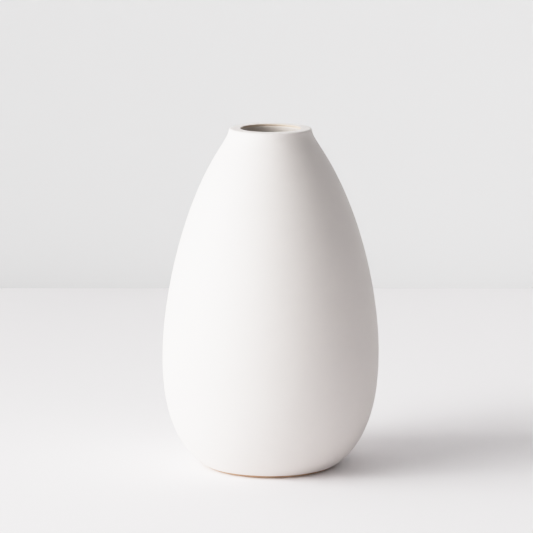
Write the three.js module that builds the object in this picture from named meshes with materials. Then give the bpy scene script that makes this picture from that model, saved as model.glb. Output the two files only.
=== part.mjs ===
// A ceramic bud vase: an egg of fired clay with a narrow mouth, a bare clay ring under it to stand on,
// a matte coat of glaze outside and a thinner coat inside.
// Units are millimetres. +Z is up, and the origin is the middle of the circle that the vase stands on.
//
// Every piece is turned about the Z axis from a section: a closed outline of radius against height.
// Neighbours share the points of the face where they touch, so they meet with no gap and no overlap.

import * as THREE from "three";

// Driving dimensions of the glazed outside
const HEIGHT = 150; // table to the top of the lip
const BELLY_RADIUS = 47.86; // widest radius of the egg
const BELLY_HEIGHT = 48.2; // height of that widest circle
const FULLNESS = 0.522; // 0.5 is a plain oval section; more draws the two ends in
const LIP_RADIUS = 18.15; // radius that the wall has reached at the height of the lip
const LIP_FLARE = 3.7; // how much of that radius is the small upward turn under the lip
const FLARE_REACH = 3.1; // depth in which that turn fades to about a third

// The clay and its coats
const CLAY_WALL = 4.25;
const CLAY_FLOOR = 6.0;
const FLOOR_FILLET = 12.0; // inside corner between the floor and the wall
const LIP_ROUND = 0.6; // the clay's outer edge at the lip, under the glaze
const MOUTH_ROUND = 0.1; // the clay's inner edge at the lip, under the glaze
const OUTER_GLAZE = 0.4;
const LINER_GLAZE = 0.4;
const LIP_GLAZE_RUN = 0.1; // how far the outer coat runs on down the mouth below its inner edge
const BARE_BAND = 0.4; // clay showing between the two coats, inside the mouth

// The foot
const FOOT_RADIUS = 29.0; // outer edge of the circle that touches the table
const FOOT_WIDTH = 5.0;
const FOOT_DEPTH = 2.0; // from the table up to the underside of the floor
const GLAZE_LINE = 1.3; // height at which the outer coat stops, above the table

// Fineness of the turned faces
const TURN_STEPS = 48;
const WALL_STEPS = 16;
const CAVITY_STEPS = 12;
const FOOT_STEPS = 1;
const ROUND_STEPS = 3;
const FILLET_STEPS = 4;

// ---- The outline of the glazed outside ----
// With s the sine of a latitude, from the foot (negative) through the belly (0) to the lip (positive):
// radius = BELLY_RADIUS * (1 - s^2)^FULLNESS, and height = BELLY_HEIGHT + (reach + taper * s) * s.
// reach and taper follow from the foot's and the lip's circles, which the outline passes through.

const latitudeSine = (radius) => Math.sqrt(1 - (radius / BELLY_RADIUS) ** (1 / FULLNESS));

const lipSine = latitudeSine(LIP_RADIUS - LIP_FLARE);
const footSine = -latitudeSine(FOOT_RADIUS);
const crownRun = (HEIGHT - BELLY_HEIGHT) / lipSine;
const keelRun = -BELLY_HEIGHT / footSine;
const taper = (crownRun - keelRun) / (lipSine - footSine);
const reach = crownRun - taper * lipSine;

// A point of the outline at one height, with the unit normal that points out of the wall.
function outlineAt(height) {
  const rise = height - BELLY_HEIGHT;
  const s = (2 * rise) / (reach + Math.sqrt(reach * reach + 4 * taper * rise));
  const flare = LIP_FLARE * Math.exp((height - HEIGHT) / FLARE_REACH);
  const roundness = 1 - s * s;
  const eggSlope = (-2 * s * FULLNESS * BELLY_RADIUS * roundness ** (FULLNESS - 1)) / (reach + 2 * taper * s);
  const slope = eggSlope + flare / FLARE_REACH;
  return {
    point: new THREE.Vector2(BELLY_RADIUS * roundness ** FULLNESS + flare, height),
    normal: new THREE.Vector2(1, -slope).normalize(),
  };
}

// The same point, moved into the wall by a depth measured square to the surface.
function insetPoint(height, depth) {
  const { point, normal } = outlineAt(height);
  return point.clone().addScaledVector(normal, -depth);
}

// How far a direction points above the radius direction, in radians; negative if it points below.
const elevationOf = (direction) => Math.atan2(direction.y, direction.x);

// The height between low and high at which a rising function reaches a target, by halving the interval.
function heightWhere(risingFunction, target, low, high) {
  const HALVINGS = 60;
  for (let i = 0; i < HALVINGS; i += 1) {
    const middle = (low + high) / 2;
    if (risingFunction(middle) < target) low = middle;
    else high = middle;
  }
  return (low + high) / 2;
}

// ---- Heights along the outline where something starts or ends ----

const glazedLipRound = LIP_ROUND + OUTER_GLAZE;
const glazedMouthRound = MOUTH_ROUND + OUTER_GLAZE;
const lipRoundStart = heightWhere(
  (height) => height + glazedLipRound * (1 - outlineAt(height).normal.y),
  HEIGHT, HEIGHT - 2 * glazedLipRound, HEIGHT,
);
const clayAtHeight = (target) => heightWhere(
  (height) => insetPoint(height, OUTER_GLAZE).y, target, 0, BELLY_HEIGHT,
);
const glazeLineStart = clayAtHeight(GLAZE_LINE);
const footTopStart = clayAtHeight(FOOT_DEPTH);

const clayDepth = OUTER_GLAZE + CLAY_WALL; // outline to the clay's inner face
const linerDepth = clayDepth + LINER_GLAZE; // outline to the liner's inner face
const mouthRadius = insetPoint(lipRoundStart, linerDepth).x;
const floorHeight = FOOT_DEPTH + CLAY_FLOOR;
const lipGlazeEnd = HEIGHT - glazedMouthRound - LIP_GLAZE_RUN;
const linerTop = lipGlazeEnd - BARE_BAND;

// ---- Runs of points that the sections are joined from ----

// Heights from low to high, closer together at both ends, where the outline bends most.
function wallHeights(low, high, steps) {
  return Array.from({ length: steps + 1 }, (_, i) => {
    const share = (1 - Math.cos((Math.PI * i) / steps)) / 2;
    return low + (high - low) * share;
  });
}

// Points on an arc about a centre, from one angle to another, in radians from the +radius direction.
function arc(centre, radius, from, to, steps) {
  return Array.from({ length: steps + 1 }, (_, i) => {
    const angle = from + ((to - from) * i) / steps;
    return new THREE.Vector2(centre.x + radius * Math.cos(angle), centre.y + radius * Math.sin(angle));
  });
}

// The flank of the foot that the glaze covers, and the wall above it, both at a depth inside the outline.
const footFlank = (depth) => wallHeights(glazeLineStart, footTopStart, FOOT_STEPS)
  .map((height) => insetPoint(height, depth));
const outerWall = (depth) => wallHeights(footTopStart, lipRoundStart, WALL_STEPS)
  .map((height) => insetPoint(height, depth));

// Over the lip: the outer rounding, the flat top, the inner rounding and the short way down the mouth.
function overLip(depth) {
  const outerCentre = insetPoint(lipRoundStart, glazedLipRound);
  const innerCentre = new THREE.Vector2(mouthRadius + glazedMouthRound, HEIGHT - glazedMouthRound);
  const lean = elevationOf(outlineAt(lipRoundStart).normal);
  return [
    ...arc(outerCentre, glazedLipRound - depth, lean, Math.PI / 2, ROUND_STEPS).slice(1),
    ...arc(innerCentre, glazedMouthRound - depth, Math.PI / 2, Math.PI, ROUND_STEPS),
    new THREE.Vector2(mouthRadius + depth, lipGlazeEnd),
  ];
}

// The cavity's face from the liner's top edge down to the axis. Its wall runs at a depth inside the
// outline, and a fillet leads it into the floor. The liner's face lies one coat inside the clay's, so
// both take their fillet about the same centre, which is one clay fillet away from floor and wall.
function cavity(coat) {
  const depth = clayDepth + coat;
  const centreDepth = clayDepth + FLOOR_FILLET;
  const filletStart = heightWhere(
    (height) => insetPoint(height, centreDepth).y,
    floorHeight + FLOOR_FILLET, 0, BELLY_HEIGHT,
  );
  const wallTop = heightWhere((height) => insetPoint(height, depth).y, linerTop, BELLY_HEIGHT, HEIGHT);
  const down = elevationOf(outlineAt(filletStart).normal);
  const fillet = arc(
    insetPoint(filletStart, centreDepth), FLOOR_FILLET - coat, down, -Math.PI / 2, FILLET_STEPS,
  );
  return [
    ...wallHeights(filletStart, wallTop, CAVITY_STEPS).reverse().map((height) => insetPoint(height, depth)),
    ...fillet.slice(1),
    new THREE.Vector2(0, floorHeight + coat),
  ];
}

// ---- The sections, each going up its outer side and down its inner side ----

const clayBodySection = [
  new THREE.Vector2(0, FOOT_DEPTH),
  ...outerWall(OUTER_GLAZE),
  ...overLip(OUTER_GLAZE),
  ...cavity(0),
];

const footRingSection = [
  new THREE.Vector2(FOOT_RADIUS - FOOT_WIDTH, 0),
  new THREE.Vector2(FOOT_RADIUS, 0),
  ...footFlank(OUTER_GLAZE),
  new THREE.Vector2(FOOT_RADIUS - FOOT_WIDTH, FOOT_DEPTH),
  new THREE.Vector2(FOOT_RADIUS - FOOT_WIDTH, 0),
];

const glazedFace = (depth) => [...footFlank(depth), ...outerWall(depth).slice(1), ...overLip(depth)];
const outerGlazeSection = [
  ...glazedFace(0),
  ...glazedFace(OUTER_GLAZE).reverse(),
  glazedFace(0)[0],
];

const linerGlazeSection = [
  ...cavity(0).reverse(),
  ...cavity(LINER_GLAZE),
];

// ---- The assembly ----

// Turns a section about the Z axis into one named piece.
function turnedPiece(name, section, colour, roughness) {
  const geometry = new THREE.LatheGeometry(section, TURN_STEPS);
  geometry.rotateX(Math.PI / 2);
  const material = new THREE.MeshStandardMaterial({ color: colour, roughness, metalness: 0 });
  const mesh = new THREE.Mesh(geometry, material);
  mesh.name = name;
  return mesh;
}

const vase = new THREE.Group();
vase.add(
  turnedPiece("clay_body", clayBodySection, 0xcfa98a, 0.9),
  turnedPiece("foot_ring", footRingSection, 0xd8b394, 0.9),
  turnedPiece("outer_glaze", outerGlazeSection, 0xf4f3f0, 0.6),
  turnedPiece("liner_glaze", linerGlazeSection, 0xe9e4de, 0.5),
);

export default vase;
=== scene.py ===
"""Looks of a ceramic bud vase: a thrown egg of buff clay under a matte white glaze.

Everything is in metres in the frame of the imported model: +Z up, origin on the table in the middle of
the foot. Each piece is one closed surface turned about the vase's axis from a section, and stands for
the plain solid of the same name.
"""
import logging
import math
from collections.abc import Callable
from dataclasses import dataclass
from enum import Enum
from functools import cached_property

import bpy
import numpy as np
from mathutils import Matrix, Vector


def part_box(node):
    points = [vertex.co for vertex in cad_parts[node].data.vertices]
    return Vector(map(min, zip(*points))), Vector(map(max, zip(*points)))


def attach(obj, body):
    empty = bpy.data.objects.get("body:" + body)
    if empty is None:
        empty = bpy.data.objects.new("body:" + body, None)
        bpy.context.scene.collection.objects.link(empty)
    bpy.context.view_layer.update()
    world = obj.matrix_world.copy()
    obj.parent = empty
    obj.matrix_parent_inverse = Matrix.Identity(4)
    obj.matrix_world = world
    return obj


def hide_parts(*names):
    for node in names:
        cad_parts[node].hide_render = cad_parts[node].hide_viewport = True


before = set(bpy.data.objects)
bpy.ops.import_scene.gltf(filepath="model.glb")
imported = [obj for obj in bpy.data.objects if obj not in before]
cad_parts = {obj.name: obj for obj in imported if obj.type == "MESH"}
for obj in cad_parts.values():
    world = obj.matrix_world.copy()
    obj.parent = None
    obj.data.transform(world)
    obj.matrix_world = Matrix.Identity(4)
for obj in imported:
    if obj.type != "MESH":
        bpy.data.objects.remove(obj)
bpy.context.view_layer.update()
BODY = "root"
MM = 0.001
Array = np.ndarray

log = logging.getLogger("bud_vase")


class Slot(Enum):
    """The record's material slots, one for each kind of surface."""

    MATTE_WHITE_GLAZE = "matte_white_glaze"
    LINER_GLAZE = "liner_glaze"
    BARE_CLAY = "bare_clay"
    FOOT_CLAY = "foot_clay"


class Ends(Enum):
    """How a section ends, before it is turned."""

    ON_THE_AXIS = "on_the_axis"
    CLOSED_LOOP = "closed_loop"


# ---- Shape ----


@dataclass(frozen=True)
class EggOutline:
    """The outline of the glazed outside, as radius against height.

    With s the sine of a latitude, from the foot (negative) through the belly (0) to the lip (positive):
    radius = belly_radius * (1 - s^2)^fullness and height = belly_height + (reach + taper * s) * s.
    Reach and taper follow from the foot's and the lip's circles, which the outline passes through. The
    lip adds a flare that fades exponentially down the neck.
    """

    height: float
    belly_radius: float
    belly_height: float = 48.2 * MM
    fullness: float = 0.522
    lip_radius: float = 18.15 * MM
    lip_flare: float = 3.7 * MM
    flare_reach: float = 3.1 * MM
    foot_radius: float = 29.0 * MM

    def latitude_sine(self, radius: float) -> float:
        """Sine of the latitude at which the bare egg has a radius, on its upper half."""
        return math.sqrt(1 - (radius / self.belly_radius) ** (1 / self.fullness))

    def reach_and_taper(self) -> tuple[float, float]:
        """The two numbers of the height formula, solved from the lip's and the foot's circles."""
        lip_sine = self.latitude_sine(self.lip_radius - self.lip_flare)
        foot_sine = -self.latitude_sine(self.foot_radius)
        crown_run = (self.height - self.belly_height) / lip_sine
        keel_run = -self.belly_height / foot_sine
        taper = (crown_run - keel_run) / (lip_sine - foot_sine)
        return crown_run - taper * lip_sine, taper

    def point_and_normal(self, height: Array) -> tuple[Array, Array]:
        """Points of the outline and the unit normals that point out of the wall.

        The slope is the formula's derivative: the egg's, by the chain rule through s, plus the flare's.

        Args:
            height: heights on the outline, in an array of any shape.

        Returns:
            Two arrays whose last axis holds radius and height.
        """
        reach, taper = self.reach_and_taper()
        rise = height - self.belly_height
        sine = 2 * rise / (reach + np.sqrt(reach * reach + 4 * taper * rise))
        roundness = 1 - sine * sine
        flare = self.lip_flare * np.exp((height - self.height) / self.flare_reach)
        egg_slope = -2 * sine * self.fullness * self.belly_radius * roundness ** (self.fullness - 1)
        slope = egg_slope / (reach + 2 * taper * sine) + flare / self.flare_reach
        length = np.sqrt(1 + slope * slope)
        point = np.stack([self.belly_radius * roundness**self.fullness + flare, height], -1)
        return point, np.stack([1 / length, -slope / length], -1)

    def inset(self, height: Array, depth: Array | float) -> Array:
        """Points of the outline moved into the wall by a depth, square to its surface."""
        point, normal = self.point_and_normal(np.asarray(height, float))
        return point - normal * np.asarray(depth, float)[..., None]

    def lean(self, height: float) -> float:
        """Angle of the outward normal above the horizontal at a height, in radians."""
        normal = self.point_and_normal(np.array(height))[1]
        return math.atan2(normal[1], normal[0])


def height_where(rising: Callable[[float], float], target: float, low: float, high: float) -> float:
    """The height between low and high at which a rising function reaches a target, by bisection.

    Args:
        rising: function of one height that rises with it.
        target: value to reach.
        low: height where the function is below the target.
        high: height where it is above.

    Returns:
        The height found.
    """
    halvings = 50
    for _ in range(halvings):
        middle = (low + high) / 2
        low, high = (middle, high) if rising(middle) < target else (low, middle)
    return (low + high) / 2


def arc(centre: Array, radius: float, start: float, end: float, steps: int) -> Array:
    """Points on a circle about a centre, from one angle to another, in radians from +radius."""
    angle = np.linspace(start, end, steps + 1)
    return centre + radius * np.stack([np.cos(angle), np.sin(angle)], -1)


def crowded_ends(low: float, high: float, steps: int) -> Array:
    """Values from low to high that stand closer together at both ends, by a half cosine."""
    return low + (high - low) * (1 - np.cos(np.linspace(0, math.pi, steps + 1))) / 2


def waves_round(angle: Array, waves: tuple) -> Array:
    """A half, plus sines of the angle, each given as (height, count round the vase, phase)."""
    return sum((height * np.sin(count * angle + phase) for height, count, phase in waves), 0.5)


@dataclass(frozen=True)
class Wall:
    """The vase's layers in section: two coats of glaze on a wall of clay, over a foot.

    Every layer's face is the outline moved in by a depth, so a coat and the clay under it share the
    points of the face where they meet.
    """

    outline: EggOutline
    clay_wall: float = 4.25 * MM
    clay_floor: float = 6.0 * MM
    floor_fillet: float = 12.0 * MM
    lip_round: float = 0.6 * MM
    mouth_round: float = 0.1 * MM
    mouth_edge: float = 0.08 * MM
    outer_glaze: float = 0.4 * MM
    liner_glaze: float = 0.4 * MM
    lip_glaze_run: float = 0.1 * MM
    bare_band: float = 0.4 * MM
    foot_width: float = 5.0 * MM
    foot_depth: float = 2.0 * MM
    glaze_line: float = 1.3 * MM

    @property
    def clay_depth(self) -> float:
        """Depth of the clay's inner face under the outline."""
        return self.outer_glaze + self.clay_wall

    @property
    def liner_depth(self) -> float:
        """Depth of the liner's inner face under the outline."""
        return self.clay_depth + self.liner_glaze

    @property
    def glazed_lip_round(self) -> float:
        """Radius of the lip's outer edge, over the glaze."""
        return self.lip_round + self.outer_glaze

    @property
    def glazed_mouth_round(self) -> float:
        """Radius of the lip's inner edge, over the glaze."""
        return self.mouth_round + self.outer_glaze

    @property
    def lip_start(self) -> float:
        """Height on the outline at which the lip's outer rounding starts."""
        top = self.outline.height

        def arc_top(height: float) -> float:
            """Top of a rounding that starts at a height."""
            return height + self.glazed_lip_round * (1 - math.sin(self.outline.lean(height)))

        return height_where(arc_top, top, top - 2 * self.glazed_lip_round, top)

    @property
    def mouth_radius(self) -> float:
        """Radius of the mouth inside the glaze."""
        return float(self.outline.inset(self.lip_start, self.liner_depth)[0])

    @property
    def lip_glaze_end(self) -> float:
        """Height inside the mouth at which the outer coat ends."""
        return self.outline.height - self.glazed_mouth_round - self.lip_glaze_run

    @property
    def liner_top(self) -> float:
        """Height inside the mouth at which the liner ends."""
        return self.lip_glaze_end - self.bare_band

    @property
    def floor_height(self) -> float:
        """Height of the clay floor inside."""
        return self.foot_depth + self.clay_floor

    def outline_height(self, depth: float, height: float, low: float, high: float) -> float:
        """Height on the outline whose inset point lies at a given height."""
        return height_where(lambda h: float(self.outline.inset(h, depth)[1]), height, low, high)

    def under_glaze(self, height: float) -> float:
        """Height on the outline whose point on the clay, under the glaze, lies at a given height."""
        return self.outline_height(self.outer_glaze, height, 0.0, self.outline.belly_height)

    def over_lip(self, depth: float, steps: int) -> Array:
        """Points over the lip: outer rounding, flat top, inner rounding, at a depth under the glaze.

        The clay's inner edge is round, and the glaze over it has pulled back to a crisper edge.

        Args:
            depth: 0 on the glaze, or the glaze's thickness on the clay.
            steps: steps in the outer rounding; the tight inner one takes half as many.

        Returns:
            Rows of (radius, height), from just above the outer wall to the mouth.
        """
        outer = self.outline.inset(self.lip_start, self.glazed_lip_round)
        edge = self.mouth_round if depth > 0 else self.mouth_edge
        inner = np.array([self.mouth_radius, self.outline.height]) + (depth + edge) * np.array([1, -1])
        lean = self.outline.lean(self.lip_start)
        outer_arc = arc(outer, self.glazed_lip_round - depth, lean, math.pi / 2, steps)[1:]
        inner_arc = arc(inner, edge, math.pi / 2, math.pi, steps // 2)
        flat_steps = 12
        share = np.linspace(0, 1, flat_steps + 1)[1:-1, None]
        flat = outer_arc[-1] * (1 - share) + inner_arc[0] * share
        return np.concatenate([outer_arc, flat, inner_arc])

    def cavity(self, coat: float, top: float) -> Array:
        """The cavity's face from a height in the mouth down the wall and the fillet to the axis.

        The fillet's centre is one clay fillet away from both the clay floor and the clay wall, and
        the liner's fillet is drawn about the same centre.

        Args:
            coat: 0 on the clay, or the liner's thickness on the liner.
            top: height at which the face starts.

        Returns:
            Rows of (radius, height).
        """
        wall_steps, fillet_steps, floor_steps = 64, 12, 14
        depth = self.clay_depth + coat
        centre_depth = self.clay_depth + self.floor_fillet
        belly = self.outline.belly_height
        start = self.outline_height(centre_depth, self.floor_height + self.floor_fillet, 0.0, belly)
        wall_top = self.outline_height(depth, top, belly, self.outline.height + 2 * self.clay_wall)
        centre = self.outline.inset(start, centre_depth)
        wall = self.outline.inset(crowded_ends(start, wall_top, wall_steps)[::-1], depth)
        radius = self.floor_fillet - coat
        fillet = arc(centre, radius, self.outline.lean(start), -math.pi / 2, fillet_steps)
        floor_radius = np.linspace(fillet[-1, 0], 0, floor_steps + 1)[1:]
        floor = np.stack([floor_radius, np.full(floor_steps, self.floor_height + coat)], -1)
        return np.concatenate([wall, fillet[1:], floor])


@dataclass(frozen=True)
class ThrowersHand:
    """What the potter's hand leaves on a wall that a lathe would turn true.

    Every effect is a function of height and turning angle, the same for all layers, so layers that
    touch go on touching. None of them carries a point outside the true turned shape's box.
    """

    bow: float = 0.24 * MM
    bow_half_wave: float = 84.0 * MM
    bow_centre: float = 48.2 * MM
    ring_depth: float = 0.035 * MM
    ring_rise: float = 7.5 * MM
    ring_waver: float = 0.6
    waver_twist: float = 0.1
    rings_to_a_swell: float = 5.3
    swell_phase: float = 0.7
    trim_height: float = 19.5 * MM
    trim_depth: float = 0.06 * MM
    trim_fade: float = 0.9 * MM
    trim_run: float = 12.0
    calm_from: float = 146.0 * MM
    calm_fade: float = 0.5 * MM
    skim: float = 0.006 * MM
    lip_sag: float = 0.07 * MM
    sag_waves: tuple = ((0.3, 2, 1.1), (0.2, 3, 4.0))
    axis_calm: float = 10.0 * MM

    def bowed(self, height: Array) -> Array:
        """Sideways shift of the centre line: a sine of the height that is zero at the belly."""
        return self.bow * np.sin(math.pi * (height - self.bow_centre) / self.bow_half_wave)

    def dip(self, radius: Array, height: Array, angle: Array) -> Array:
        """How far a point lies inside the true turned surface.

        Throwing rings are half of one plus the sine of a spiral phase, times a slower swell that lets
        them come and go. Trimming is a smooth step at the height where it began, fading to the foot.
        Both calm down at the lip and towards the axis. A bare skim comes off everywhere, so that the
        bow keeps inside the true shape's box.

        Args:
            radius: radii of the points.
            height: heights of the points.
            angle: turning angles of the points, in radians.

        Returns:
            The inward shift of each point.
        """
        turns_of_rise = 2 * math.pi * height / self.ring_rise
        waver = self.ring_waver * np.sin(2 * angle + self.waver_twist * turns_of_rise)
        swell = 0.5 + 0.5 * np.sin(turns_of_rise / self.rings_to_a_swell + self.swell_phase)
        rings = self.ring_depth * (0.5 + 0.5 * np.sin(turns_of_rise - angle + waver)) * swell
        below = (self.trim_height - height) / self.trim_fade
        trim = self.trim_depth / (1 + np.exp(-below)) * np.exp(-np.maximum(below, 0) / self.trim_run)
        calm = 1 / (1 + np.exp((height - self.calm_from) / self.calm_fade))
        return (self.skim + (rings + trim) * calm) * np.minimum(radius / self.axis_calm, 1)

    def sag(self, height: Array, angle: Array) -> Array:
        """How far the lip hangs below level: two shallow waves round it, fading down the neck."""
        waves = waves_round(angle, self.sag_waves)
        return self.lip_sag * waves / (1 + np.exp((self.calm_from - height) / self.calm_fade))


HAND = ThrowersHand()


def new_object(name: str, data: bpy.types.ID) -> bpy.types.Object:
    """Makes an object of some data and puts it in the scene."""
    made = bpy.data.objects.new(name, data)
    bpy.context.scene.collection.objects.link(made)
    return made


@dataclass(frozen=True)
class TurnedSurface:
    """One closed surface turned about the axis from a section."""

    name: str
    section: Array
    ends: Ends
    turns: int = 256

    def build(self) -> bpy.types.Object:
        """Turns the section into a mesh object at the origin, smooth but for its creases.

        With r the section's radius less the hand's dip, a point's place is x = r * cos(angle) + bow,
        y = r * sin(angle) and z = height less the hand's sag, over a grid of turning angles and
        section points. Quads join each point with the next one round and the next one along.

        Returns:
            The object.
        """
        crease = math.radians(40)
        rows = np.broadcast_to(self.section, (self.turns,) + self.section.shape[-2:])
        angle = 2 * math.pi * np.arange(self.turns)[:, None] / self.turns
        true_radius, height = rows[..., 0], rows[..., 1]
        radius = true_radius - HAND.dip(true_radius, height, angle)
        across = radius * np.cos(angle) + HAND.bowed(height)
        grid = np.stack([across, radius * np.sin(angle), height - HAND.sag(height, angle)], -1)
        if self.ends is Ends.CLOSED_LOOP:
            vertices, faces = grid.reshape(-1, 3), self._quads(grid.shape[1], wrap=True).tolist()
        else:
            vertices, faces = self._body(grid)
        mesh = bpy.data.meshes.new(self.name)
        mesh.from_pydata(vertices.tolist(), [], faces)
        mesh.validate()
        mesh.shade_smooth()
        mesh.set_sharp_from_angle(angle=crease)
        return new_object(self.name, mesh)

    def _quads(self, columns: int, wrap: bool) -> Array:
        """Quads over a grid numbered turn by turn; wrap joins the last column to the first."""
        turn = np.arange(self.turns)[:, None]
        column = np.arange(columns if wrap else columns - 1)[None, :]
        here, ahead = turn * columns, (turn + 1) % self.turns * columns
        after = (column + 1) % columns
        corners = [here + column, ahead + column, ahead + after, here + after]
        return np.stack(corners, -1).reshape(-1, 4)

    def _body(self, grid: Array) -> tuple[Array, list[list[int]]]:
        """Vertices and faces of a body that closes on the axis with two fans."""
        around = grid[:, 1:-1]
        columns = around.shape[1]
        vertices = np.concatenate([around.reshape(-1, 3), grid[:1, 0], grid[:1, -1]])
        start, end = len(vertices) - 2, len(vertices) - 1
        here = np.arange(self.turns) * columns
        ahead = np.roll(here, -1)
        start_fan = np.stack([np.full(self.turns, start), ahead, here], -1)
        last = columns - 1
        end_fan = np.stack([here + last, ahead + last, np.full(self.turns, end)], -1)
        faces = self._quads(columns, wrap=False).tolist() + start_fan.tolist() + end_fan.tolist()
        return vertices, faces


# ---- Node graphs ----


Socket = bpy.types.NodeSocket
Tree = bpy.types.NodeTree
Feed = Socket | float | tuple
VALUE = "NodeSocketFloat"
COLOUR = "NodeSocketColor"


class Graph:
    """A shader node tree, with short ways to add nodes and join their sockets."""

    def __init__(self, tree: Tree) -> None:
        """Wraps a tree, which may already hold nodes."""
        self.tree = tree

    def feed(self, socket: Socket, value: Feed) -> None:
        """Joins a socket to an input, or sets the input's own value; a triple can be a colour."""
        if isinstance(value, Socket):
            self.tree.links.new(value, socket)
        else:
            socket.default_value = (*value, 1.0) if socket.type == "RGBA" else value

    def add(self, kind: str, inputs: dict | None = None, **settings: object) -> bpy.types.Node:
        """Adds a node.

        Args:
            kind: the node's type name.
            inputs: values or sockets for its inputs, by name or number.
            settings: the node's own properties.

        Returns:
            The node.
        """
        node = self.tree.nodes.new(kind)
        for name, value in settings.items():
            setattr(node, name, value)
        for name, value in (inputs or {}).items():
            self.feed(node.inputs[name], value)
        return node

    def math(self, operation: str, *values: Feed) -> Socket:
        """Adds a Math node over values or sockets and gives its result."""
        return self.add("ShaderNodeMath", dict(enumerate(values)), operation=operation).outputs[0]

    def remap(self, value: Feed, source: tuple, target: tuple, smooth: bool = False) -> Socket:
        """Maps a socket from one interval to another, clamped, in a line or in a smooth step."""
        inputs = dict(enumerate((value, *source, *target)))
        kind = "SMOOTHSTEP" if smooth else "LINEAR"
        return self.add("ShaderNodeMapRange", inputs, interpolation_type=kind).outputs[0]

    def mix(self, factor: Feed, first: Feed, second: Feed) -> Socket:
        """Mixes two colours and gives the colour."""
        first_colour, second_colour, mixed_colour = 6, 7, 2
        inputs = {0: factor, first_colour: first, second_colour: second}
        return self.add("ShaderNodeMix", inputs, data_type="RGBA").outputs[mixed_colour]

    def noise(self, place: Feed, scale: Feed, detail: float = 2.0, roughness: float = 0.5) -> Socket:
        """Adds a noise texture and gives its value."""
        inputs = {"Vector": place, "Scale": scale, "Detail": detail, "Roughness": roughness}
        return self.add("ShaderNodeTexNoise", inputs).outputs["Fac"]


def new_effect(name: str, inputs: dict[str, object], outputs: dict[str, str]) -> tuple[Graph, dict, dict]:
    """Starts a node group for an effect that several materials share. Its first input is a Vector.

    Args:
        name: the group's name.
        inputs: each other input's name and its default: a number or a colour triple.
        outputs: each output's name and socket type.

    Returns:
        The group's graph, its input sockets by name, and the output node's sockets by name.
    """
    tree = bpy.data.node_groups.new(name, "ShaderNodeTree")
    tree.interface.new_socket("Vector", in_out="INPUT", socket_type="NodeSocketVector")
    for socket_name, default in inputs.items():
        kind = COLOUR if isinstance(default, tuple) else VALUE
        made = tree.interface.new_socket(socket_name, in_out="INPUT", socket_type=kind)
        made.default_value = (*default, 1.0) if kind == COLOUR else default
    for socket_name, socket_type in outputs.items():
        tree.interface.new_socket(socket_name, in_out="OUTPUT", socket_type=socket_type)
    graph = Graph(tree)
    entry = graph.add("NodeGroupInput")
    leave = graph.add("NodeGroupOutput")
    return graph, {s.name: s for s in entry.outputs}, {s.name: s for s in leave.inputs}


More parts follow.
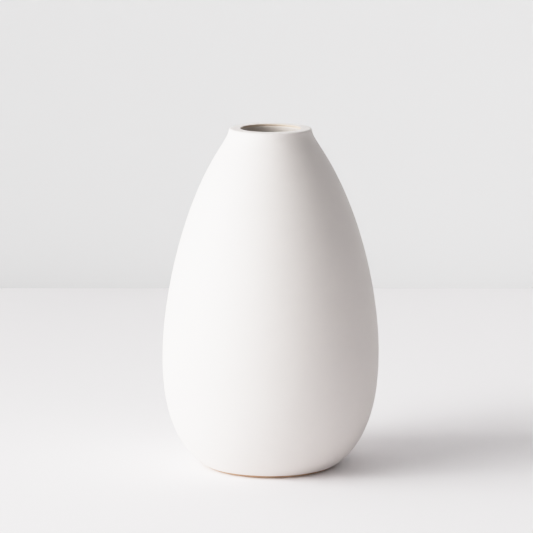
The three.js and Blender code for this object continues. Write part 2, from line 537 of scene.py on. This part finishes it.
class Effects:
    """The surface effects that the glazes and clays share, each a node group built once."""

    @cached_property
    def cloudy(self) -> Tree:
        """A colour made lighter and darker in soft clouds: colour * (1 + amount * noise from -1 to 1)."""
        inputs = {"Colour": (0.8, 0.8, 0.8), "Scale": 40.0, "Amount": 0.02}
        graph, given, out = new_effect("cloudy_tone", inputs, {"Colour": COLOUR, "Cloud": VALUE})
        common_range, both_ways, share = (0.3, 0.7), (-1.0, 1.0), (0.0, 1.0)
        noise = graph.noise(given["Vector"], given["Scale"], detail=3.0, roughness=0.5)
        cloud = graph.remap(noise, common_range, both_ways)
        gain = graph.math("MULTIPLY_ADD", cloud, given["Amount"], 1.0)
        scaled = graph.add("ShaderNodeVectorMath", {0: given["Colour"], "Scale": gain}, operation="SCALE")
        graph.feed(out["Colour"], scaled.outputs[0])
        graph.feed(out["Cloud"], graph.remap(cloud, both_ways, share))
        return graph.tree

    @cached_property
    def specks(self) -> Tree:
        """Scattered round specks: near the points of a cell pattern, in a share of its cells."""
        inputs = {"Scale": 100.0, "Size": 0.05, "Share": 0.2}
        graph, given, out = new_effect("specks", inputs, {"Mask": VALUE})
        soft_edge = (0.6, 1.0)
        cells = graph.add("ShaderNodeTexVoronoi", {"Vector": given["Vector"], "Scale": given["Scale"]})
        inside = graph.math("DIVIDE", cells.outputs["Distance"], given["Size"])
        spot = graph.remap(inside, soft_edge, (1.0, 0.0), smooth=True)
        pick = graph.add("ShaderNodeSeparateColor", {0: cells.outputs["Color"]}).outputs[0]
        chosen = graph.math("LESS_THAN", pick, given["Share"])
        graph.feed(out["Mask"], graph.math("MULTIPLY", spot, chosen))
        return graph.tree

    @cached_property
    def turning_lines(self) -> Tree:
        """Fine lines round the axis: noise drawn out sideways so that it changes mostly with height."""
        graph, given, out = new_effect("turning_lines", {"Density": 900.0}, {"Height": VALUE})
        draw = (0.02, 0.02, 1.0)
        drawn_out = graph.add("ShaderNodeMapping", {"Vector": given["Vector"], "Scale": draw})
        graph.feed(out["Height"], graph.noise(drawn_out.outputs[0], given["Density"], roughness=0.6))
        return graph.tree

    @cached_property
    def grain(self) -> Tree:
        """A fine tooth: noise at a size given in grains per metre, and softer noise at a third of it."""
        graph, given, out = new_effect("grain", {"Density": 1500.0}, {"Height": VALUE})
        coarser, coarse_share = 3.0, 0.6
        fine = graph.noise(given["Vector"], given["Density"], roughness=0.6)
        coarse = graph.noise(given["Vector"], graph.math("DIVIDE", given["Density"], coarser))
        graph.feed(out["Height"], graph.math("MULTIPLY_ADD", coarse, coarse_share, fine))
        return graph.tree

    @cached_property
    def height_band(self) -> Tree:
        """A mask that is 1 above a height and 0 below it, over a soft width, with a wandering edge."""
        inputs = {"Height": 0.001, "Width": 0.0004, "Wander": 0.0002}
        graph, given, out = new_effect("height_band", inputs, {"Mask": VALUE})
        wander_scale = 130.0
        height = graph.add("ShaderNodeSeparateXYZ", {0: given["Vector"]}).outputs[2]
        swing = graph.math("SUBTRACT", graph.noise(given["Vector"], wander_scale), 0.5)
        moved = graph.math("MULTIPLY_ADD", swing, given["Wander"], height)
        above = graph.math("SUBTRACT", moved, given["Height"])
        share = graph.math("DIVIDE", above, given["Width"])
        graph.feed(out["Mask"], graph.remap(share, (-0.5, 0.5), (0.0, 1.0), smooth=True))
        return graph.tree


def new_material(name: str) -> tuple[bpy.types.Material, Graph, bpy.types.Node, Socket]:
    """Starts a material with a Principled shader on its output.

    Args:
        name: the material's name.

    Returns:
        The material, its graph, the Principled node and the Object coordinate.
    """
    material = bpy.data.materials.new(name)
    material.use_nodes = True
    material.node_tree.nodes.clear()
    graph = Graph(material.node_tree)
    shader = graph.add("ShaderNodeBsdfPrincipled")
    graph.add("ShaderNodeOutputMaterial", {"Surface": shader.outputs[0]})
    place = graph.add("ShaderNodeTexCoord").outputs["Object"]
    return material, graph, shader, place


# ---- Finishes ----


@dataclass(frozen=True)
class Clouds:
    """Soft clouds of tone: their scale per metre and how much they change a colour."""

    scale: float
    amount: float


@dataclass(frozen=True)
class Specks:
    """Scattered specks: cells per metre, size in a cell, share of the cells, and how far they cover."""

    scale: float
    size: float
    share: float
    cover: float


@dataclass(frozen=True)
class Edge:
    """A soft edge at a height, over a width, that wanders up and down."""

    height: float
    width: float
    wander: float


@dataclass(frozen=True)
class Relief:
    """Fine relief: how many grains or lines it has per metre, and its depth."""

    density: float
    depth: float


@dataclass(frozen=True)
class Sheen:
    """A roughness that rises with the clouds, from its lowest value."""

    low: float
    rise: float


class Painter:
    """A material in the making, with the shared effects at hand."""

    def __init__(self, name: str, effects: Effects) -> None:
        """Starts the material."""
        self.material, self.graph, self.shader, self.place = new_material(name)
        self.effects = effects

    def effect(self, tree: Tree, **inputs: Feed) -> bpy.types.NodeOutputs:
        """Places a shared effect."""
        return self.graph.add("ShaderNodeGroup", {"Vector": self.place, **inputs}, node_tree=tree).outputs

    def clouds(self, colour: Feed, clouds: Clouds) -> tuple[Socket, Socket]:
        """A clouded colour, and the clouds themselves from 0 to 1."""
        made = self.effect(self.effects.cloudy, Colour=colour, Scale=clouds.scale, Amount=clouds.amount)
        return made["Colour"], made["Cloud"]

    def specked(self, base: Feed, tone: tuple, specks: Specks) -> tuple[Socket, Socket]:
        """A colour with specks of a tone over it, and the specks' mask."""
        sizes = {"Scale": specks.scale, "Size": specks.size, "Share": specks.share}
        mask = self.effect(self.effects.specks, **sizes)["Mask"]
        return self.graph.mix(self.graph.math("MULTIPLY", mask, specks.cover), base, tone), mask

    def above(self, edge: Edge) -> Socket:
        """A mask that is 1 above an edge."""
        sizes = {"Height": edge.height, "Width": edge.width, "Wander": edge.wander}
        return self.effect(self.effects.height_band, **sizes)["Mask"]

    def relief(self, tree: Tree, relief: Relief) -> tuple[Socket, float]:
        """A relief's height socket, from 0 to 1, and its depth."""
        return self.effect(tree, Density=relief.density)["Height"], relief.depth

    def finish(
        self, colour: Feed, cloud: Feed, sheen: Sheen, reliefs: list[tuple[Socket, float]]
    ) -> bpy.types.Material:
        """Joins everything to the shader.

        Args:
            colour: the base colour.
            cloud: the clouds that the roughness follows.
            sheen: how rough the surface is.
            reliefs: each relief's height socket, from 0 to 1, and its depth in metres.

        Returns:
            The material.
        """
        inputs = self.shader.inputs
        self.graph.feed(inputs["Base Color"], colour)
        self.graph.feed(inputs["Roughness"], self.graph.math("MULTIPLY_ADD", cloud, sheen.rise, sheen.low))
        under = {}
        for height, depth in reliefs:
            bump = {"Height": height, "Distance": depth, "Strength": 1.0}
            under = {"Normal": self.graph.add("ShaderNodeBump", bump | under).outputs[0]}
        self.graph.feed(inputs["Normal"], under["Normal"])
        return self.material


@dataclass(frozen=True)
class MatteWhiteGlaze:
    """The outside's matte white glaze: thin over the mouth's edge and at the glaze line."""

    white: tuple = (0.75, 0.70, 0.67)
    thin: tuple = (0.62, 0.50, 0.40)
    pinhole: tuple = (0.50, 0.45, 0.40)
    broad_clouds: Clouds = Clouds(scale=22.0, amount=0.012)
    fine_clouds: Clouds = Clouds(scale=160.0, amount=0.008)
    pinholes: Specks = Specks(scale=95.0, size=0.028, share=0.35, cover=0.7)
    pinhole_depth: float = 0.12 * MM
    foot_edge: Edge = Edge(height=1.5 * MM, width=0.5 * MM, wander=0.3 * MM)
    foot_thinness: float = 0.6
    mouth_radius: float = 13.27 * MM
    mouth_blur: float = 0.05 * MM
    sheen: Sheen = Sheen(low=0.56, rise=0.08)
    lines: Relief = Relief(density=700.0, depth=0.012 * MM)
    tooth: Relief = Relief(density=1400.0, depth=0.006 * MM)

    def material(self, effects: Effects) -> bpy.types.Material:
        """Builds the material: clouds of tone, pinholes, broken edges, an eggshell surface."""
        paint = Painter("matte_white_glaze", effects)
        graph = paint.graph
        broad, _ = paint.clouds(self.white, self.broad_clouds)
        fine, cloud = paint.clouds(broad, self.fine_clouds)
        specked, pinholes = paint.specked(fine, self.pinhole, self.pinholes)
        thin_foot = graph.math("SUBTRACT", 1.0, paint.above(self.foot_edge))
        flattened = graph.add("ShaderNodeVectorMath", {0: paint.place, 1: (1, 1, 0)}, operation="MULTIPLY")
        radius = graph.add("ShaderNodeVectorMath", {0: flattened.outputs[0]}, operation="LENGTH")
        blur = (self.mouth_radius - self.mouth_blur, self.mouth_radius + self.mouth_blur)
        in_mouth = graph.remap(radius.outputs["Value"], blur, (1.0, 0.0), smooth=True)
        thin = graph.math("MAXIMUM", graph.math("MULTIPLY", thin_foot, self.foot_thinness), in_mouth)
        pits = graph.math("SUBTRACT", 1.0, pinholes)
        lines = paint.relief(effects.turning_lines, self.lines)
        reliefs = [lines, paint.relief(effects.grain, self.tooth), (pits, self.pinhole_depth)]
        return paint.finish(graph.mix(thin, specked, self.thin), cloud, self.sheen, reliefs)


@dataclass(frozen=True)
class LinerGlaze:
    """The inside's thinner, warmer coat, with a satin face."""

    cream: tuple = (0.53, 0.475, 0.43)
    pinhole: tuple = (0.45, 0.38, 0.31)
    clouds: Clouds = Clouds(scale=60.0, amount=0.04)
    pinholes: Specks = Specks(scale=140.0, size=0.05, share=0.25, cover=0.6)
    sheen: Sheen = Sheen(low=0.37, rise=0.1)
    lines: Relief = Relief(density=400.0, depth=0.03 * MM)
    tooth: Relief = Relief(density=900.0, depth=0.008 * MM)

    def material(self, effects: Effects) -> bpy.types.Material:
        """Builds the material: clouds of tone, a few pinholes and soft throwing lines."""
        paint = Painter("liner_glaze", effects)
        tone, cloud = paint.clouds(self.cream, self.clouds)
        colour, _ = paint.specked(tone, self.pinhole, self.pinholes)
        lines = paint.relief(effects.turning_lines, self.lines)
        reliefs = [lines, paint.relief(effects.grain, self.tooth)]
        return paint.finish(colour, cloud, self.sheen, reliefs)


@dataclass(frozen=True)
class BareClay:
    """Fired buff stoneware: sandy, matt, speckled, and paler where a film of glaze lies over it."""

    slot: Slot = Slot.BARE_CLAY
    buff: tuple = (0.60, 0.43, 0.30)
    toasted: tuple = (0.50, 0.33, 0.21)
    iron: tuple = (0.16, 0.09, 0.06)
    grog: tuple = (0.80, 0.70, 0.58)
    filmed: tuple = (0.62, 0.50, 0.40)
    clouds: Clouds = Clouds(scale=90.0, amount=0.07)
    sand: Clouds = Clouds(scale=1600.0, amount=0.10)
    grog_specks: Specks = Specks(scale=900.0, size=0.32, share=0.25, cover=0.5)
    iron_specks: Specks = Specks(scale=450.0, size=0.16, share=0.18, cover=0.8)
    toast_edge: Edge = Edge(height=0.55 * MM, width=0.8 * MM, wander=0.5 * MM)
    film_edge: Edge = Edge(height=146.0 * MM, width=1.0 * MM, wander=0.2 * MM)
    toast: float = 0.0
    grog_depth: float = 0.04 * MM
    sheen: Sheen = Sheen(low=0.83, rise=0.1)
    tooth: Relief = Relief(density=2200.0, depth=0.05 * MM)

    def material(self, effects: Effects) -> bpy.types.Material:
        """Builds the material: clouded clay, pale grog, dark iron specks, a sandy face."""
        paint = Painter(self.slot.value, effects)
        tone, _ = paint.clouds(self.buff, self.clouds)
        sand, cloud = paint.clouds(tone, self.sand)
        with_grog, grog = paint.specked(sand, self.grog, self.grog_specks)
        with_iron, _ = paint.specked(with_grog, self.iron, self.iron_specks)
        toasting = paint.graph.math("MULTIPLY", paint.above(self.toast_edge), self.toast)
        toasted = paint.graph.mix(toasting, with_iron, self.toasted)
        colour = paint.graph.mix(paint.above(self.film_edge), toasted, self.filmed)
        reliefs = [paint.relief(effects.grain, self.tooth), (grog, self.grog_depth)]
        return paint.finish(colour, cloud, self.sheen, reliefs)


# ---- The vase's pieces ----


def rounded_corner(before: Array, corner: Array, after: Array, cut: float) -> Array:
    """A corner eased by a quadratic curve that starts and ends a cut's length away from it.

    Args:
        before: point that the corner's first side comes from.
        corner: the corner.
        after: point that its second side goes to.
        cut: how much of each side the curve takes.

    Returns:
        Rows of (radius, height) along the curve.
    """
    steps = 8
    start = corner + (before - corner) / np.linalg.norm(before - corner) * cut
    end = corner + (after - corner) / np.linalg.norm(after - corner) * cut
    share = np.linspace(0, 1, steps + 1)[:, None]
    return (1 - share) ** 2 * start + 2 * share * (1 - share) * corner + share**2 * end


def straight(start: Array, end: Array, steps: int) -> Array:
    """Points from a start to just before an end, evenly spaced."""
    share = np.linspace(0, 1, steps + 1)[:-1, None]
    return start * (1 - share) + end * share


@dataclass(frozen=True)
class VasePiece:
    """A piece of the vase: a turned surface with a finish, standing for the solid of its name."""

    wall: Wall
    name: str
    slot: Slot
    ends: Ends
    lip_steps: int = 10
    hidden_steps: int = 64

    def section(self) -> Array:
        """The piece's section, going up its outer side and down its inner side."""
        raise NotImplementedError

    def build(self, finish: bpy.types.Material) -> bpy.types.Object:
        """Builds the piece, dresses it, and puts it in place of its solid.

        Args:
            finish: the material it wears.

        Returns:
            The object.
        """
        piece = TurnedSurface(self.name, self.section(), self.ends).build()
        piece.data.materials.append(finish)
        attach(piece, BODY)
        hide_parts(self.name.removesuffix("_surface"))
        log.info("%s: %d vertices, finish %s", piece.name, len(piece.data.vertices), finish.name)
        return piece

    def clay_outside(self) -> Array:
        """The clay's outer face under the glaze, from the top of the foot to the lip's rounding."""
        wall = self.wall
        heights = crowded_ends(wall.under_glaze(wall.foot_depth), wall.lip_start, self.hidden_steps)
        return wall.outline.inset(heights, wall.outer_glaze)


@dataclass(frozen=True)
class ClayBody(VasePiece):
    """The fired clay shell: underside, wall, lip and cavity."""

    name: str = "clay_body_surface"
    slot: Slot = Slot.BARE_CLAY
    ends: Ends = Ends.ON_THE_AXIS
    tool_mark: float = 0.06 * MM
    tool_pitch: float = 1.6 * MM
    middle_depth: float = 1.3

    def underside(self) -> Array:
        """The recess inside the foot, from the axis outwards.

        The trimming tool leaves rings: the clay rises by half of one minus the cosine of the radius
        over the tool's pitch, deeper towards the middle, and is flat where the foot ring joins it.
        """
        wall, steps = self.wall, 120
        inner = wall.outline.foot_radius - wall.foot_width
        radius = np.linspace(0, inner, steps)
        rings = 0.5 - 0.5 * np.cos(2 * math.pi * radius / self.tool_pitch)
        fade = np.clip((inner - radius) / self.tool_pitch, 0, 1)
        height = wall.foot_depth + self.tool_mark * rings * fade * (self.middle_depth - radius / inner)
        joint_steps = 3
        joint = straight(np.array([inner, wall.foot_depth]), self.clay_outside()[0], joint_steps)[1:]
        return np.concatenate([np.stack([radius, height], -1), joint])

    def section(self) -> Array:
        """Underside, outer wall, lip, bare band in the mouth, cavity."""
        wall, band_steps = self.wall, 4
        band_top = np.array([wall.mouth_radius + wall.outer_glaze, wall.lip_glaze_end])
        cavity = wall.cavity(0.0, wall.liner_top)
        lip = wall.over_lip(wall.outer_glaze, self.lip_steps)
        band = straight(band_top, cavity[0], band_steps)
        return np.concatenate([self.underside(), self.clay_outside(), lip, band, cavity])


@dataclass(frozen=True)
class FootRing(VasePiece):
    """The bare ring that the vase stands on, wiped smooth, with its edges eased."""

    name: str = "foot_ring_surface"
    slot: Slot = Slot.FOOT_CLAY
    ends: Ends = Ends.CLOSED_LOOP
    outer_ease: float = 1.05 * MM
    inner_ease: float = 0.8 * MM

    def section(self) -> Array:
        """Eased inner edge, the face on the table, eased outer edge, flank, joint, inner wall."""
        wall = self.wall
        side_steps, face_steps, flank_steps = 4, 6, 6
        foot = wall.outline.foot_radius
        inner_foot = np.array([foot - wall.foot_width, 0.0])
        outer_foot = np.array([foot, 0.0])
        low, high = wall.under_glaze(wall.glaze_line), wall.under_glaze(wall.foot_depth)
        flank = wall.outline.inset(np.linspace(low, high, flank_steps + 1), wall.outer_glaze)
        inner_top = np.array([inner_foot[0], wall.foot_depth])
        inner_edge = rounded_corner(inner_top, inner_foot, outer_foot, self.inner_ease)
        outer_edge = rounded_corner(inner_foot, outer_foot, flank[0], self.outer_ease)
        face = straight(inner_edge[-1], outer_edge[0], face_steps)
        side = straight(outer_edge[-1], flank[0], side_steps)
        joint = straight(flank[-1], inner_top, face_steps)
        inside = straight(inner_top, inner_edge[0], side_steps)
        return np.concatenate([inner_edge[:-1], face, outer_edge[:-1], side, flank[:-1], joint, inside])


@dataclass(frozen=True)
class OuterGlaze(VasePiece):
    """The matte coat outside, over the lip and just into the mouth."""

    name: str = "outer_glaze_surface"
    slot: Slot = Slot.MATTE_WHITE_GLAZE
    ends: Ends = Ends.CLOSED_LOOP
    wall_steps: int = 176
    bead: float = 0.7 * MM
    line_wander: float = 0.28 * MM
    line_waves: tuple = ((0.25, 3, 0.4), (0.15, 7, 2.0), (0.1, 16, 5.0))

    def line_start(self, turns: int) -> Array:
        """Height on the outline where the coat starts, at each turning angle.

        The glaze line wanders upwards from its lowest height by a sum of three sines of the angle.
        """
        angle = 2 * math.pi * np.arange(turns) / turns
        low = self.wall.under_glaze(self.wall.glaze_line)
        high = self.wall.under_glaze(self.wall.glaze_line + self.line_wander)
        return low + (high - low) * waves_round(angle, self.line_waves)

    def section(self) -> Array:
        """Outer face, lip, rounded end in the mouth, and back down against the clay.

        At the glaze line the coat thickens from nothing to its full depth over a bead's length, as a
        quarter of an ellipse. The end in the mouth is a quarter of an ellipse too.

        Returns:
            An array of turns by points by (radius, height).
        """
        wall, turns = self.wall, TurnedSurface.turns
        glaze = wall.outer_glaze
        start = self.line_start(turns)[:, None]
        share = crowded_ends(0, 1, self.wall_steps)[None, :]
        heights = start + (wall.lip_start - start) * share
        bare = 1 - np.clip((heights - start) / self.bead, 0, 1)
        outside = wall.outline.inset(heights, glaze * (1 - np.sqrt(1 - bare**2)))
        end_steps = 6
        turn_in = np.linspace(0, math.pi / 2, end_steps + 1)
        end_radius = wall.mouth_radius + glaze * (1 - np.cos(turn_in))
        end_height = wall.lip_glaze_end + wall.lip_glaze_run * (1 - np.sin(turn_in))
        end = np.stack([end_radius, end_height], -1)
        over_lip = np.concatenate([wall.over_lip(0.0, self.lip_steps)[:-1], end])
        flank_steps = 4
        flank_share = np.linspace(0, 1, flank_steps + 1)[None, 1:-1]
        flank_heights = start + (wall.under_glaze(wall.foot_depth) - start) * flank_share
        under_flank = wall.outline.inset(flank_heights, glaze)
        inside = np.concatenate([self.clay_outside(), wall.over_lip(glaze, self.lip_steps)])[::-1]

        def all_round(points: Array) -> Array:
            """The same points at every turning angle."""
            return np.broadcast_to(points, (turns,) + points.shape)

        faces = [outside, all_round(over_lip), all_round(inside), under_flank[:, ::-1]]
        return np.concatenate(faces, axis=1)


@dataclass(frozen=True)
class LinerCoat(VasePiece):
    """The thin coat over the cavity's wall and floor."""

    name: str = "liner_glaze_surface"
    slot: Slot = Slot.LINER_GLAZE
    ends: Ends = Ends.ON_THE_AXIS
    bead: float = 0.35 * MM

    def section(self) -> Array:
        """Up against the clay from the floor's middle, a rounded top edge, and down the open face."""
        wall, edge_steps = self.wall, 6
        against_clay = wall.cavity(0.0, wall.liner_top)[::-1]
        open_face = wall.cavity(wall.liner_glaze, wall.liner_top - self.bead)
        turn = np.linspace(0, math.pi / 2, edge_steps + 1)[1:-1, None]
        from_clay, to_open = against_clay[-1], open_face[0]
        across = np.concatenate([np.sin(turn), 1 - np.cos(turn)], -1)
        edge = from_clay + (to_open - from_clay) * across
        return np.concatenate([against_clay, edge, open_face])


# ---- Studio ----


@dataclass(frozen=True)
class Softbox:
    """A rectangular studio light that faces a point near the vase."""

    name: str
    azimuth: float
    elevation: float
    width: float
    height: float
    watts: float
    distance: float = 3.0
    aim: tuple = (0.0, 0.0, 0.07)

    def build(self) -> bpy.types.Object:
        """Makes the light. Azimuth is counted from the camera's side (-Y) towards +X, in degrees."""
        light = bpy.data.lights.new(self.name, "AREA")
        light.shape = "RECTANGLE"
        light.size, light.size_y = self.width, self.height
        light.energy = self.watts
        lamp = new_object(self.name, light)
        turn, rise = math.radians(self.azimuth), math.radians(self.elevation)
        away = Vector((math.sin(turn) * math.cos(rise), -math.cos(turn) * math.cos(rise), math.sin(rise)))
        lamp.location = Vector(self.aim) + away * self.distance
        lamp.rotation_euler = away.to_track_quat("Z", "Y").to_euler()
        return lamp


@dataclass(frozen=True)
class SoftWhites:
    """A plain view whose highlights roll off to white instead of clipping.

    Out is in / (1 + in ** firmness) ** (1 / firmness), up to the brightest value that is kept apart.
    """

    firmness: float = 2.5
    brightest: float = 4.0
    stops: tuple = (0.0, 0.15, 0.3, 0.45, 0.6, 0.75, 0.9, 1.1, 1.3, 1.6, 2.0, 2.5, 3.2, 4.0)

    def rolled_off(self, light: float) -> float:
        """The shown value of a light value."""
        return light / (1 + light**self.firmness) ** (1 / self.firmness)

    def apply(self, scene: bpy.types.Scene) -> None:
        """Sets the scene's view: the standard transform behind one curve for all three colours."""
        view = scene.view_settings
        view.view_transform = "Standard"
        view.use_curve_mapping = True
        mapping = view.curve_mapping
        mapping.white_level = (self.brightest,) * 3
        all_colours = 3
        points = mapping.curves[all_colours].points
        last_stop = self.stops[-1] / self.brightest
        points[0].location = (0.0, 0.0)
        points[1].location = (last_stop, self.rolled_off(self.stops[-1]))
        for stop in self.stops[1:-1]:
            points.new(stop / self.brightest, self.rolled_off(stop))
        mapping.update()


@dataclass(frozen=True)
class Studio:
    """A pale table with a pale wall behind it, soft lights and the camera."""

    table_white: tuple = (0.865, 0.838, 0.847)
    # Painted light and shade: the table's and the wall's tones are painted lighter and darker along these
    # slopes.
    table_shading: tuple = (0.55, -0.41, 0.0)
    wall_white: tuple = (0.684, 0.684, 0.684)
    wall_shading: tuple = (0.70, 0.0, 0.0)
    table_middle: float = 1.09
    wall_middle: float = 1.0
    paper_roughness: float = 0.9
    # Painted shade at the foot of the wall, where it meets the table.
    paper_specular: float = 0.2
    line_shade: float = 0.10
    line_shade_fade: float = 0.017
    wall_distance: float = 0.405
    reach: float = 4.0
    half_width: float = 2.4
    air_tone: float = 1.05
    camera_distance: float = 1.200
    camera_height: float = 0.3122
    lens: float = 187.3
    sensor_width: float = 36.0
    near_clip: float = 0.05
    aim: tuple = (-0.00186, 0.0, 0.0885)
    softboxes: tuple = (
        Softbox("window", azimuth=-70, elevation=22, width=2.2, height=2.0, watts=112.0),
        Softbox("window_glow", azimuth=-50, elevation=20, width=1.3, height=1.3, watts=25.0),
        Softbox("table_side", azimuth=-35, elevation=5, width=1.3, height=1.3, watts=28.0),
        Softbox("sky_left", azimuth=-90, elevation=24, width=0.7, height=0.7, watts=32.0),
        Softbox("sky_middle", azimuth=-70, elevation=24, width=0.7, height=0.7, watts=41.0),
        Softbox("front_fill", azimuth=20, elevation=22, width=2.2, height=2.0, watts=12.2),
    )

    def build(self) -> None:
        """Builds the table, the wall, the lights, the air past them and the camera."""
        wide, far, wall = self.half_width, self.reach, self.wall_distance
        table_corners = [(-wide, -far, 0), (wide, -far, 0), (wide, wall, 0), (-wide, wall, 0)]
        wall_corners = [(-wide, wall, 0), (wide, wall, 0), (wide, wall, far), (-wide, wall, far)]
        table = self.sheet("table", table_corners, self.table_white, self.table_middle, self.table_shading)
        backdrop = self.sheet("backdrop", wall_corners, self.wall_white, self.wall_middle, self.wall_shading)
        for softbox in self.softboxes:
            softbox.build()
        self.air()
        self.camera()

    def sheet(self, name: str, corners: list, white: tuple, middle: float, slope: tuple) -> bpy.types.Object:
        """A flat sheet of pale paper with painted light and shade in its tone, and clear from behind.

        Its tone is the white times a gain, which is painted light: the middle value plus the slope's dot
        product with the place, held between two limits, less a thin painted shade that fades upwards from
        the table's line.

        Args:
            name: the sheet's name.
            corners: its four corners, in order.
            white: its colour.
            middle: the painted light's gain at the origin.
            slope: how the painted light's gain changes along x, y and z, per metre.

        Returns:
            The sheet.
        """
        darkest, lightest = 0.88, 1.12
        mesh = bpy.data.meshes.new(name)
        mesh.from_pydata(corners, [], [(0, 1, 2, 3)])
        surface = new_object(name, mesh)
        material, graph, shader, place = new_material(name + "_paper")
        # Painted light: the tone is painted lighter and darker along the slope, within two limits.
        along = graph.add("ShaderNodeVectorMath", {0: place, 1: slope}, operation="DOT_PRODUCT")
        raised = graph.math("ADD", along.outputs["Value"], middle)
        gain = graph.remap(raised, (darkest, lightest), (darkest, lightest))
        # Painted shade: the wall's tone darkens just above the table's line and fades upwards.
        if corners[-1][2] > 0:
            height = graph.add("ShaderNodeSeparateXYZ", {0: place}).outputs[2]
            fade = graph.math("EXPONENT", graph.math("DIVIDE", height, -self.line_shade_fade))
            gain = graph.math("MULTIPLY_ADD", fade, -self.line_shade, gain)
        tone = graph.add("ShaderNodeVectorMath", {0: white, "Scale": gain}, operation="SCALE")
        graph.feed(shader.inputs["Base Color"], tone.outputs[0])
        shader.inputs["Roughness"].default_value = self.paper_roughness
        shader.inputs["Specular IOR Level"].default_value = self.paper_specular
        behind = graph.add("ShaderNodeNewGeometry").outputs["Backfacing"]
        graph.feed(shader.inputs["Alpha"], graph.math("SUBTRACT", 1.0, behind))
        mesh.materials.append(material)
        return surface

    def air(self) -> None:
        """Pale air past the edges of the studio that is seen but throws no light on anything."""
        world = bpy.data.worlds.new("studio_air")
        world.use_nodes = True
        background = world.node_tree.nodes["Background"].inputs
        background["Color"].default_value = (1.0, 1.0, 1.0, 1.0)
        background["Strength"].default_value = self.air_tone
        seen_by = world.cycles_visibility
        seen_by.camera = True
        seen_by.diffuse = seen_by.glossy = seen_by.transmission = seen_by.scatter = False
        bpy.context.scene.world = world

    def camera(self) -> None:
        """A long lens that looks slightly down at the vase."""
        data = bpy.data.cameras.new("camera")
        data.lens = self.lens
        data.sensor_width = self.sensor_width
        data.clip_start = self.near_clip
        camera = new_object("camera", data)
        camera.location = (0.0, -self.camera_distance, self.camera_height)
        direction = Vector(self.aim) - camera.location
        camera.rotation_euler = direction.to_track_quat("-Z", "Y").to_euler()
        bpy.context.scene.camera = camera


def true_wall() -> Wall:
    """The vase's wall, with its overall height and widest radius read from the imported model."""
    low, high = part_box("outer_glaze")
    return Wall(EggOutline(height=high.z, belly_radius=(high.x - low.x) / 2))


def build_vase() -> list[bpy.types.Object]:
    """Builds the vase's pieces, from the clay outwards."""
    wall, effects = true_wall(), Effects()
    foot_finish = BareClay(
        slot=Slot.FOOT_CLAY, buff=(0.50, 0.33, 0.215), toasted=(0.34, 0.19, 0.11), toast=0.55
    )
    return [
        ClayBody(wall).build(BareClay().material(effects)),
        FootRing(wall).build(foot_finish.material(effects)),
        LinerCoat(wall).build(LinerGlaze().material(effects)),
        OuterGlaze(wall).build(MatteWhiteGlaze().material(effects)),
    ]


def main() -> None:
    """Builds the vase and the studio round it."""
    logging.basicConfig(level=logging.INFO, format="%(message)s")
    SoftWhites().apply(bpy.context.scene)
    pieces = build_vase()
    Studio().build()
    log.info("%d pieces stand in the studio", len(pieces))


if __name__ == "__main__":
    main()
